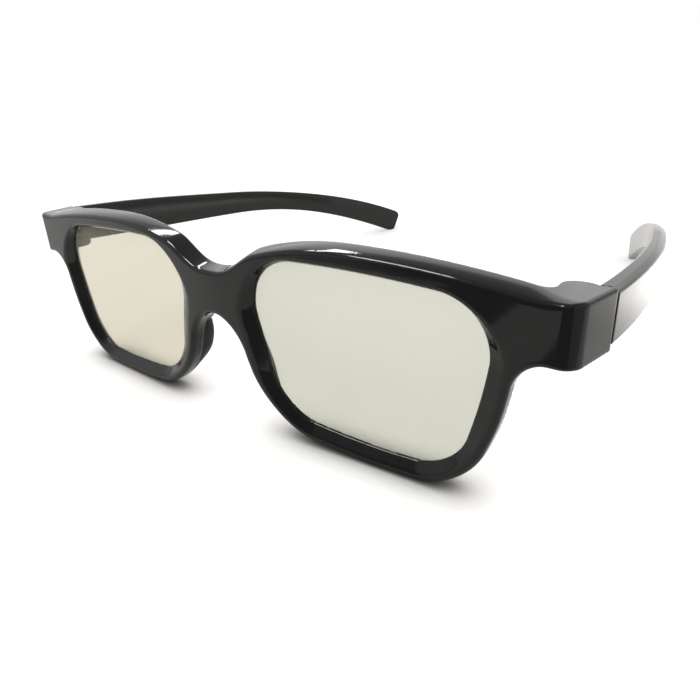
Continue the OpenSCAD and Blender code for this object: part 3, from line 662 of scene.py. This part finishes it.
def temple_body(s, stations=220):
    """One temple in u, d and z: a rounded section, chamfered along its outer edges, carried along a
    cubic in plan and a bent line in side view; its tip closes over rounded corners."""
    long, thick = s.temple_l, s.temple_t
    cw, ch = s.chamfer_w, s.chamfer_h
    half = s.temple_h / 2
    chamfer_r = s.edge_r * CHAMFER_ROUND
    section = rounded_path(
        [[0, -half], [thick - cw, -half], [thick, ch - half],
         [thick, half - ch], [thick - cw, half], [0, half]],
        [s.edge_r, chamfer_r, chamfer_r, chamfer_r, chamfer_r, s.edge_r])
    p, sign = section[:, 0], np.sign(section[:, 1])
    off = section[:, 1] - sign * half
    # Stations: the seam's edge, the run, then the tip's rounded end
    turn = np.linspace(0, math.pi / 2, END_STEPS)
    at = np.concatenate([
        s.seam_r * (1 - np.sin(turn[::-1])),
        np.linspace(s.seam_r, long - s.tip_r, stations)[1:],
        long - s.tip_r + (s.tip_r - s.end_r) * np.linspace(0, 1, TIP_STEPS)[1:],
        long - s.end_r + s.end_r * np.sin(turn[1:])])
    inset = np.zeros_like(at)
    inset[:END_STEPS] = s.seam_r * (1 - np.cos(turn[::-1]))
    inset[1 - END_STEPS:] = s.end_r * (1 - np.cos(turn[1:]))
    # Side view: the middle line, its fall and the height round it
    bend_k = s.tip_drop / (long - s.bend_at) ** 2
    past = np.maximum(at - s.bend_at, 0)
    z0 = s.end_top - s.temple_h / 2 - s.top_drop
    mid = z0 - math.tan(s.slope) * at - bend_k * past ** 2
    fall = -math.tan(s.slope) - 2 * bend_k * past
    tall = np.where(
        at < s.waist_at, lerp(s.temple_h, s.waist_h, ease((at - s.full_l) / (s.waist_at - s.full_l))),
        lerp(s.waist_h, s.tip_h, ease((at - s.waist_at) / (long - s.waist_at))))
    round_s = np.clip(at - long + s.tip_r, 0, s.tip_r)
    tall = tall - 2 * (s.tip_r - np.sqrt(s.tip_r ** 2 - round_s ** 2))
    tall, inset = tall[:, None], inset[:, None]
    q = (sign * tall / 2 + off) * (1 - 2 * inset / tall)
    across = thick / 2 + (p - thick / 2) * (1 - 2 * inset / thick)
    up_s = -fall / np.hypot(fall, 1) * ease(at / s.full_l)
    up_z = 1 / np.hypot(fall, 1)
    run = at[:, None] + up_s[:, None] * q
    z = mid[:, None] + up_z[:, None] * q
    # Plan: a cubic that leaves the seam at the splay and reaches the tip at the toe-in, and its slope
    t = run / long
    splay, toe = math.tan(s.splay), math.tan(s.toe_in)
    plan = (s.end_u + s.end_flare - thick + splay * long * (t - 2 * t ** 2 + t ** 3)
            - s.tip_in * (3 * t ** 2 - 2 * t ** 3) - toe * long * (t ** 3 - t ** 2))
    bend = splay * (1 - 4 * t + 3 * t ** 2) - s.tip_in * 6 * (t - t ** 2) / long - toe * (3 * t ** 2 - 2 * t)
    u = plan + across * np.hypot(1, bend)
    d = s.seam_d + run
    # Beside the hinge the temple keeps clear of the round ears
    clear = s.ear_r + s.swing_gap
    room = clear ** 2 - (d - s.hinge_d) ** 2
    u = np.where(room > 0, np.maximum(u, s.hinge_u + np.sqrt(np.maximum(room, 0))), u)
    return swept(np.stack([u, d, z], -1))


def knuckle(s, bare=(130, 360), lap=0.3, edge=0.2):
    """The temple's knuckle and its neck in u, d and z: an outline round the pin's hole, raised between
    the ears with rounded edges. It is round between the two bearings of its bare side, in degrees, and
    its neck laps into the temple."""
    turn = np.radians(np.linspace(*bare, 40))
    ring = np.stack([np.cos(turn), np.sin(turn)], 1) * s.knuckle_r
    inner = s.end_u + s.end_flare - s.temple_t - s.hinge_u + lap
    reach = s.seam_d - s.hinge_d + s.neck
    neck = np.array([[s.knuckle_r, reach], [inner, reach]])
    t = np.linspace(0, 1, 14)[1:, None]
    outline = np.concatenate([
        ring, lerp(ring[-1], neck[0], t), lerp(neck[0], neck[1], t), lerp(neck[1], ring[0], t)[:-1]])
    bearing = np.arctan2(*outline.T[::-1])
    hole = np.stack([np.cos(bearing), np.sin(bearing)], 1) * (s.pin_d / 2 + s.pin_gap)
    turn = np.linspace(0, math.pi / 2, 4)
    up, down = edge * (1 - np.cos(turn)), edge * (1 - np.sin(turn))
    centre = outline.mean(0)
    pull = (outline - centre) / np.hypot(*(outline - centre).T)[:, None]
    flat = np.stack([hole] + [outline - pull * inset for inset in (*down, *up)] + [hole])
    heights = np.concatenate([[0], up, s.knuckle_h - down, [s.knuckle_h]])
    z = np.broadcast_to((s.knuckle_z + heights)[:, None], flat.shape[:2])
    return swept(np.stack([flat[..., 0] + s.hinge_u, flat[..., 1] + s.hinge_d, z], -1), closed=True)


def ring_body(s):
    """One retainer ring in u, d and z: a section with rounded edges carried round the opening, its
    rear swollen on the nose side into a pad crowned by a large radius."""
    opening, normal = opening_curve(s)
    rim = rim_width(s, *opening.T)
    outer = lerp(rim - s.ring_inset, s.ring_top_w, under_brow(s, opening[:, 1]))
    count = len(opening)
    steps = count // 8
    run = np.arange(count) / steps
    # The pad lies on the nose edge and the corner below it, thickest near the foot of that edge
    on_nose = ease((run - PAD_FROM) / PAD_FADE_IN) * ease((PAD_TO - run) / PAD_FADE_OUT)
    middle = (opening + normal * outer[:, None])[6 * steps + steps // 6, 1]
    swell = s.pad_h - s.pad_r + np.sqrt(np.maximum(s.pad_r ** 2 - (opening[:, 1] - middle) ** 2, 0))
    pad = np.maximum(swell, 0) * on_nose
    r, front, back = s.ring_edge_r, s.plate_t, s.plate_t + s.ring_t
    turn = np.linspace(0, math.pi / 2, 6)
    one = np.ones(count)
    inner = s.ring_back * one
    slope = np.minimum(s.ring_slope_w, outer - inner - s.ring_flat_w)
    edge = r + (s.pad_edge - r) * np.clip(pad / s.pad_edge, 0, 1)
    crest = outer - np.maximum(s.pad_crest_w * np.clip(pad, 0, 1), edge)
    foot = np.minimum(np.maximum(s.pad_back, inner + slope), crest)
    lip = front + s.ring_lip_t
    # Rows of the section, as widths outside the opening and depths
    rows = [(inner, front * one), (inner, (lip - RING_LIP_R) * one), (inner + RING_LIP_R, lip * one)]
    rows += [(lerp(inner, inner + slope, k), lerp(lip, back, k) * one) for k in (0.2, 0.5, 0.8, 0.97)]
    rows += [(foot, back * one)]
    rows += [(lerp(foot, crest, k), back + pad * float(ease(k))) for k in (0.15, 0.35, 0.55, 0.75, 0.9, 1.0)]
    rows += [(outer - edge * (1 - math.sin(a)), back + pad - edge * (1 - math.cos(a))) for a in turn]
    rows += [(outer, front * one)]
    w, d = np.stack([a for a, _ in rows], 1), np.stack([b for _, b in rows], 1)
    flat = opening[:, None] + normal[:, None] * w[..., None]
    return swept(np.stack([flat[..., 0], d, flat[..., 1]], -1), closed=True)


def lens_sheet(s, front, back, rings=7, least=0.1):
    """One layer of a lens in u, d and z: the opening's outline, grown by the lap, drawn in towards
    its middle on a front and a rear face, in so many rings down to its least share."""
    opening, normal = opening_curve(s)
    edge = opening + normal * s.lens_lap
    middle = edge.mean(0)
    grown = np.concatenate([np.linspace(least, 1, rings), np.linspace(1, least, rings)])
    flat = middle + (edge - middle) * grown[:, None, None]
    d = np.repeat([front, back], rings)[:, None] * np.ones(len(edge))
    return swept(np.stack([flat[..., 0], d, flat[..., 1]], -1))


def placed(s, side, part):
    """A closed part of one half, carried to the part's frame and turned to enclose its volume."""
    points, quads, caps = part
    points = place(s, side, *points.T)
    a, b, c, d = (points[quads[:, i]] for i in range(4))
    volume = (np.cross(b - a, c - a) * a).sum() + (np.cross(c - a, d - a) * a).sum()
    if volume > 0:
        return points, quads, caps
    return points, quads[:, ::-1], [face[::-1] for face in caps]


class Nodes:
    """A node tree, with short calls to add nodes and links."""

    def __init__(self, tree):
        self.tree = tree

    def give(self, socket, value):
        """Links an output to a socket, or sets the socket's own value."""
        if isinstance(value, bpy.types.NodeSocket):
            self.tree.links.new(value, socket)
        else:
            socket.default_value = value

    def add(self, kind, links=(), **settings):
        """A new node with its inputs and settings."""
        node = self.tree.nodes.new(kind)
        for key, value in settings.items():
            setattr(node, key, value)
        for key, value in dict(links).items():
            self.give(node.inputs[key], value)
        return node

    def maths(self, operation, a, b=0.0, c=0.0):
        """One step of arithmetic."""
        return self.add("ShaderNodeMath", {0: a, 1: b, 2: c}, operation=operation).outputs[0]

    def remap(self, value, low, high, to_low, to_high, smooth=False):
        """A value carried from one range to another and held at its ends."""
        return self.add("ShaderNodeMapRange", {
            "Value": value, "From Min": low, "From Max": high, "To Min": to_low, "To Max": to_high},
            interpolation_type="SMOOTHSTEP" if smooth else "LINEAR").outputs[0]

    def blend(self, factor, a, b):
        """A number between a and b."""
        return self.add("ShaderNodeMix", {0: factor, 2: a, 3: b}).outputs[0]

    def seen(self, *rays):
        """1 to rays of these kinds, 0 to all others."""
        path = self.add("ShaderNodeLightPath").outputs
        found = path[rays[0]]
        for ray in rays[1:]:
            found = self.maths("MAXIMUM", found, path[ray])
        return found


class Shader(Nodes):
    """A material's node tree."""

    def __init__(self, name):
        self.material = bpy.data.materials.new(name)
        self.material.use_nodes = True
        super().__init__(self.material.node_tree)
        self.shader = self.tree.nodes["Principled BSDF"]
        self.place = self.add("ShaderNodeTexCoord").outputs["Object"]

    def noise(self, waves, detail=3.0, rough=0.5):
        """Noise of so many waves to the metre."""
        return self.add("ShaderNodeTexNoise", {
            "Vector": self.place, "Scale": waves, "Detail": detail, "Roughness": rough}).outputs["Fac"]

    def mix(self, factor, a, b):
        """A colour between a and b."""
        return self.add("ShaderNodeMix", {0: factor, 6: (*a, 1), 7: (*b, 1)}, data_type="RGBA").outputs[2]

    def bump(self, height, strength, distance):
        """Tilts the surface by a height, over a distance in metres."""
        node = self.add("ShaderNodeBump", {"Height": height, "Strength": strength, "Distance": distance})
        self.give(self.shader.inputs["Normal"], node.outputs[0])

    def set(self, **inputs):
        """Gives the shader its inputs, with underscores for the spaces in their names."""
        for key, value in inputs.items():
            self.give(self.shader.inputs[key.replace("_", " ")], value)


def dim(tint, left):
    """A darker tint, of which a share is left."""
    return tuple(left * c for c in tint)


def plastic_material(name, tint, haze, rough, gloss):
    """Black moulded plastic: faint flow waves, fine scuffs that dull it and a little dust."""
    m = Shader(name)
    scuff = m.noise(waves=1500.0, detail=4.0, rough=0.6)
    dust = m.remap(m.noise(waves=5200.0, detail=2.0), *DUST_SPAN, 0.0, 0.8)
    m.set(Base_Color=m.mix(dust, tint, haze), Specular_IOR_Level=gloss,
          Roughness=m.remap(scuff, *SCUFF_SPAN, rough * 0.95, rough * 1.15))
    m.bump(m.noise(waves=130.0, detail=2.0), strength=0.03, distance=0.0006)
    return m.material


def gloss_plastic(finish):
    """The front's and the rings' plastic, made once."""
    return bpy.data.materials.get("gloss_plastic") or plastic_material(
        "gloss_plastic", finish.plastic, finish.plastic_haze, finish.plastic_rough, finish.plastic_gloss)


def clear_material(finish):
    """The clear sheets: thin and see-through, faintly mottled, denser at a low angle."""
    m = Shader("clear_sheet")
    alpha = finish.clear_alpha
    cloud = m.noise(waves=60.0)
    low = m.maths("POWER", m.add("ShaderNodeLayerWeight").outputs["Facing"], 3.0)
    dense = m.remap(cloud, *NOISE_SPAN, alpha * 0.94, alpha * 1.06)
    m.set(Base_Color=m.mix(cloud, dim(finish.clear, 0.8), finish.clear),
          Roughness=m.remap(cloud, *NOISE_SPAN, 0.03, 0.07),
          Alpha=m.maths("MULTIPLY_ADD", low, finish.clear_edge, dense))
    m.bump(m.noise(waves=45.0, detail=2.0), strength=0.02, distance=0.0005)
    return m.material


def film_material(name, tint, passing):
    """A polariser film: it tints what shows through it, and scatters a little, with a faint mottle."""
    m = Shader(name)
    m.set(Base_Color=m.mix(m.noise(waves=60.0), dim(tint, 0.97), tint), Roughness=0.0,
          IOR=1.01, Transmission_Weight=passing)
    return m.material


def steel_material(finish):
    """Drawn steel with a fine grain."""
    m = Shader("pin_steel")
    grain = m.noise(waves=3000.0, detail=2.0)
    m.set(Base_Color=m.mix(grain, dim(finish.steel, 0.75), finish.steel),
          Metallic=1.0, Roughness=m.remap(grain, *NOISE_SPAN, 0.22, 0.4))
    m.bump(grain, strength=0.1, distance=0.00005)
    return m.material


def dress(piece, shader, body=None, nodes=()):
    """Gives a piece its material and slot, and its body and the CAD nodes that it stands for."""
    piece.data.materials.clear()
    piece.data.materials.append(shader)
    if nodes:
        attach(piece, body)
        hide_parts(*nodes)


class GLASSES_OT_front(bpy.types.Operator):
    """Build the moulded front with its brow, rims, bridge and end pieces"""
    bl_idname = "glasses.front"
    bl_label = "Front"

    def execute(self, context):
        s = sizes(context)
        reach = s.end_u + s.end_flare + ROOM_BESIDE
        low = (-reach, -ROOM_AHEAD, -s.rim_bottom_w - ROOM_BELOW)
        high = (reach, s.hinge_d + s.ear_r + ROOM_BEHIND, s.opening_h + s.brow_h + ROOM_ABOVE)
        points, quads = surface_net(front_field(s), low, high, s.cell)
        # Both halves sweep back at once, with a soft blend between them
        u, d, z = points.T
        c, n = math.cos(s.wrap), math.sin(s.wrap)
        soft = np.hypot(u, s.centre_r)
        piece = new_piece("front", stand(s, u * c - d * n * u / soft, soft * n + d * c, z), quads)
        shader = gloss_plastic(context.scene.glasses_finish)
        dress(piece, shader, "front", ["front_frame"])
        return {"FINISHED"}


class GLASSES_OT_rings(bpy.types.Operator):
    """Build the two retainer rings with their nose pads"""
    bl_idname = "glasses.rings"
    bl_label = "Retainer rings"

    def execute(self, context):
        s = sizes(context)
        shader = gloss_plastic(context.scene.glasses_finish)
        for word, side in SIDES.items():
            piece = new_piece(f"{word}_ring", *placed(s, side, ring_body(s)))
            dress(piece, shader, "front", [f"{word}_retainer_ring"])
        return {"FINISHED"}


class GLASSES_OT_lenses(bpy.types.Operator):
    """Build the layers of the two lens laminates"""
    bl_idname = "glasses.lenses"
    bl_label = "Lenses"

    def execute(self, context):
        s, finish = sizes(context), context.scene.glasses_finish
        clear = clear_material(finish)
        for word, side in SIDES.items():
            film = film_material(f"{word}_polariser", getattr(finish, f"film_{word}"), finish.film_pass)
            front = s.lens_d
            for layer, thick, shader in (("retarder_film", s.retarder_t, clear),
                                         ("polariser_film", s.polariser_t, film),
                                         ("backing_sheet", s.backing_t, clear)):
                sheet = lens_sheet(s, front + s.glue_t / 2, front + thick - s.glue_t / 2)
                piece = new_piece(f"{word}_{layer}_sheet", *placed(s, side, sheet), smooth=False)
                dress(piece, shader, "front", [f"{word}_{layer}"])
                front += thick
        return {"FINISHED"}


class GLASSES_OT_temples(bpy.types.Operator):
    """Build the two temples with their knuckles"""
    bl_idname = "glasses.temples"
    bl_label = "Temples"

    def execute(self, context):
        s, finish = sizes(context), context.scene.glasses_finish
        shader = plastic_material(
            "satin_plastic", finish.satin, finish.plastic_haze, finish.satin_rough, finish.plastic_gloss)
        for word, side in SIDES.items():
            parts = [placed(s, side, part) for part in (temple_body(s), knuckle(s))]
            piece = new_piece(f"{word}_arm", *join_parts(parts))
            dress(piece, shader, f"{word}_temple", [f"{word}_temple"])
        return {"FINISHED"}


class GLASSES_OT_pins(bpy.types.Operator):
    """Finish the two steel hinge pins"""
    bl_idname = "glasses.pins"
    bl_label = "Hinge pins"

    def execute(self, context):
        shader = steel_material(context.scene.glasses_finish)
        for word in SIDES:
            dress(frame["nodes"][f"{word}_hinge_pin"], shader)
        return {"FINISHED"}


def hang(lamp, at, aim):
    """Puts a lamp at one point, turned towards another."""
    holder = bpy.data.objects.new(lamp.name, lamp)
    holder.location = at
    way = np.subtract(aim, at)
    holder.rotation_euler = (math.atan2(math.hypot(way[0], way[1]), -way[2]), 0, math.atan2(-way[0], way[1]))
    bpy.context.scene.collection.objects.link(holder)
    return holder


def set_camera(scene, setup, s):
    """The camera: an orbit round a point of the upright front, carried into the leaned frame."""
    az, el, roll = setup.camera_azimuth, setup.camera_elevation, setup.camera_roll
    back = np.array([math.sin(az) * math.cos(el), -math.cos(az) * math.cos(el), math.sin(el)])
    right = np.array([math.cos(az), math.sin(az), 0.0])
    up = np.cross(back, right)
    right, up = math.cos(roll) * right + math.sin(roll) * up, math.cos(roll) * up - math.sin(roll) * right
    eye = np.array(setup.camera_target) + back * setup.camera_distance
    lean = Matrix.Rotation(-s.lean, 4, "X")
    pose = Matrix.Identity(4)
    for column, axis in enumerate((right, up, back, eye)):
        pose.col[column][:3] = axis
    camera = bpy.data.objects.new("camera", bpy.data.cameras.new("camera"))
    camera.data.lens, camera.data.sensor_width = setup.camera_lens, SENSOR_W
    camera.data.clip_start = NEAR_CLIP
    camera.matrix_world = Matrix.Translation((0, -s.mid_y * 1e-3, s.lift * 1e-3)) @ lean @ pose
    scene.collection.objects.link(camera)
    scene.camera = camera


def lay_floor(scene, setup):
    """The white table top: it takes the lamps' shadows, has a contact shade painted near the object in its
    colour and its lift, and is lifted to white where it lies open and behind the middle, which paints away
    the temple tips' shadows.
    """
    mesh = bpy.data.meshes.new("floor")
    mesh.from_pydata([(x, y, 0) for x, y in TABLE_TOP], [], [tuple(range(len(TABLE_TOP)))])
    floor = bpy.data.objects.new("floor", mesh)
    scene.collection.objects.link(floor)
    m = Shader("floor_white")
    # Painted shade: the occlusion node darkens the floor's colour near the object
    painted_contact_shade = m.add("ShaderNodeAmbientOcclusion", {
        "Color": (*setup.floor_colour, 1), "Distance": setup.shade_reach}, samples=12).outputs
    # Painted light and shade: the lift falls near the object with the open share, painting a contact shade,
    # and stays full behind the middle, painting away the temple tips' shadows
    depth = m.add("ShaderNodeSeparateXYZ", {0: m.place}).outputs["Y"]
    lift = m.maths("MAXIMUM", m.remap(painted_contact_shade["AO"], *OPEN_SHARE, 0.0, setup.floor_lift, smooth=True),
                   m.remap(depth, *BACK_DEPTH, 0.0, setup.floor_lift))
    seen = m.seen("Is Camera Ray", "Is Glossy Ray", "Is Transmission Ray")
    m.set(Base_Color=painted_contact_shade["Color"], Roughness=0.9, Specular_IOR_Level=0.0,
          Emission_Color=(1, 1, 1, 1), Emission_Strength=m.maths("MULTIPLY", seen, lift))
    mesh.materials.append(m.material)


def light_world(scene, setup):
    """The world: white to the camera and through the lenses. To other rays it is strongest a little
    above the horizon, with a bright window band behind the glasses and a dark side in front."""
    world = bpy.data.worlds.new("soft_light")
    world.use_nodes = True
    w = Nodes(world.node_tree)
    way = w.add("ShaderNodeTexCoord").outputs["Generated"]
    rise = w.add("ShaderNodeSeparateXYZ", {0: way}).outputs["Z"]
    level = w.add("ShaderNodeVectorMath", {0: way, 1: (1, 1, 0)}, operation="MULTIPLY").outputs[0]
    level = w.add("ShaderNodeVectorMath", {0: level}, operation="NORMALIZE").outputs[0]

    def change(heights, below, above):
        return w.remap(rise, *heights, below, above, smooth=True)

    def towards(bearing, wide, ended):
        bearing = (math.sin(bearing), -math.cos(bearing), 0)
        ahead = w.add("ShaderNodeVectorMath", {0: level, 1: bearing}, operation="DOT_PRODUCT")
        return w.remap(ahead.outputs["Value"], math.cos(ended), math.cos(wide), 0, 1, smooth=True)

    light = w.maths("MULTIPLY", change(BAND_RISE, setup.sky_low, setup.sky_band),
                    change(OVERHEAD_RISE, 1.0, setup.sky_top / setup.sky_band))
    window = towards(math.pi + setup.window_way, setup.window_width, setup.window_soft)
    window = w.maths("MULTIPLY", window, change(WINDOW_FOOT, 0, 1))
    window = w.maths("MULTIPLY", window, change(WINDOW_HEAD, 1, 0))
    dark = towards(setup.dark_way, setup.dark_width, setup.dark_soft)
    dark = w.maths("MULTIPLY", dark, change(DARK_HEAD, 1, 0))
    light = w.blend(window, light, setup.window_strength)
    light = w.blend(dark, light, setup.dark_strength)
    glow = w.tree.nodes["Background"].inputs
    w.give(glow["Color"], (*setup.sky, 1))
    w.give(glow["Strength"], w.blend(w.seen("Is Camera Ray", "Is Transmission Ray"), light, 1.0))
    scene.world = world


def hang_lamps(setup):
    """The lamps: a broad one in front that shows in no reflection, a spot on the floor, and two on the
    ceiling that light no matt surface."""
    fill = bpy.data.lights.new("front_fill", "AREA")
    fill.energy, fill.size = setup.fill_power, setup.fill_w
    hang(fill, setup.fill_at, (0, 0, 0)).visible_glossy = False
    pool = bpy.data.lights.new("floor_pool", "SPOT")
    pool.energy, pool.shadow_soft_size = setup.pool_power, setup.pool_r
    pool.spot_size, pool.spot_blend = setup.pool_cone, setup.pool_soft
    hang(pool, setup.pool_at, setup.pool_aim)
    for name, at, long, wide in (("ceiling_strip", setup.strip_at, setup.strip_l, setup.strip_w),
                                 ("ceiling_square", setup.square_at, setup.square_w, setup.square_w)):
        lamp = bpy.data.lights.new(name, "AREA")
        lamp.shape, lamp.size, lamp.size_y = "RECTANGLE", long, wide
        lamp.energy = setup.ceiling_glow * long * wide
        hang(lamp, at, (0, at[1], setup.ceiling_aim)).visible_diffuse = False


class GLASSES_OT_stage(bpy.types.Operator):
    """Set the camera, the white floor and the soft light"""
    bl_idname = "glasses.stage"
    bl_label = "Stage"

    def execute(self, context):
        scene, setup = context.scene, context.scene.glasses_stage
        set_camera(scene, setup, sizes(context))
        lay_floor(scene, setup)
        light_world(scene, setup)
        hang_lamps(setup)
        scene.view_settings.view_transform = "Standard"
        return {"FINISHED"}


OPERATORS = [
    GLASSES_OT_front, GLASSES_OT_rings, GLASSES_OT_lenses, GLASSES_OT_temples, GLASSES_OT_pins,
    GLASSES_OT_stage,
]


class GLASSES_PT_panel(bpy.types.Panel):
    """Sidebar panel of the glasses"""
    bl_idname = "GLASSES_PT_panel"
    bl_label = "Glasses"
    bl_space_type = "VIEW_3D"
    bl_region_type = "UI"
    bl_category = "Glasses"

    def draw(self, context):
        for operator in OPERATORS:
            self.layout.operator(operator.bl_idname)
        for name, group in GROUPS.items():
            box = self.layout.box()
            box.label(text=group.__doc__)
            for key in group.__annotations__:
                box.prop(getattr(context.scene, name), key)


def register():
    """Adds the settings, operators and panel."""
    for group in GROUPS.values():
        bpy.utils.register_class(group)
    for name, group in GROUPS.items():
        setattr(bpy.types.Scene, name, bpy.props.PointerProperty(type=group))
    for item in (*OPERATORS, GLASSES_PT_panel):
        bpy.utils.register_class(item)


def unregister():
    """Takes the panel, operators and settings away."""
    for item in (GLASSES_PT_panel, *reversed(OPERATORS)):
        bpy.utils.unregister_class(item)
    for name in GROUPS:
        delattr(bpy.types.Scene, name)
    for group in GROUPS.values():
        bpy.utils.unregister_class(group)


def main():
    """Registers the add-on and builds every piece and the stage."""
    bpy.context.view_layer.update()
    register()
    bpy.ops.glasses.front()
    bpy.ops.glasses.rings()
    bpy.ops.glasses.lenses()
    bpy.ops.glasses.temples()
    bpy.ops.glasses.pins()
    bpy.ops.glasses.stage()


if __name__ == "__main__":
    main()
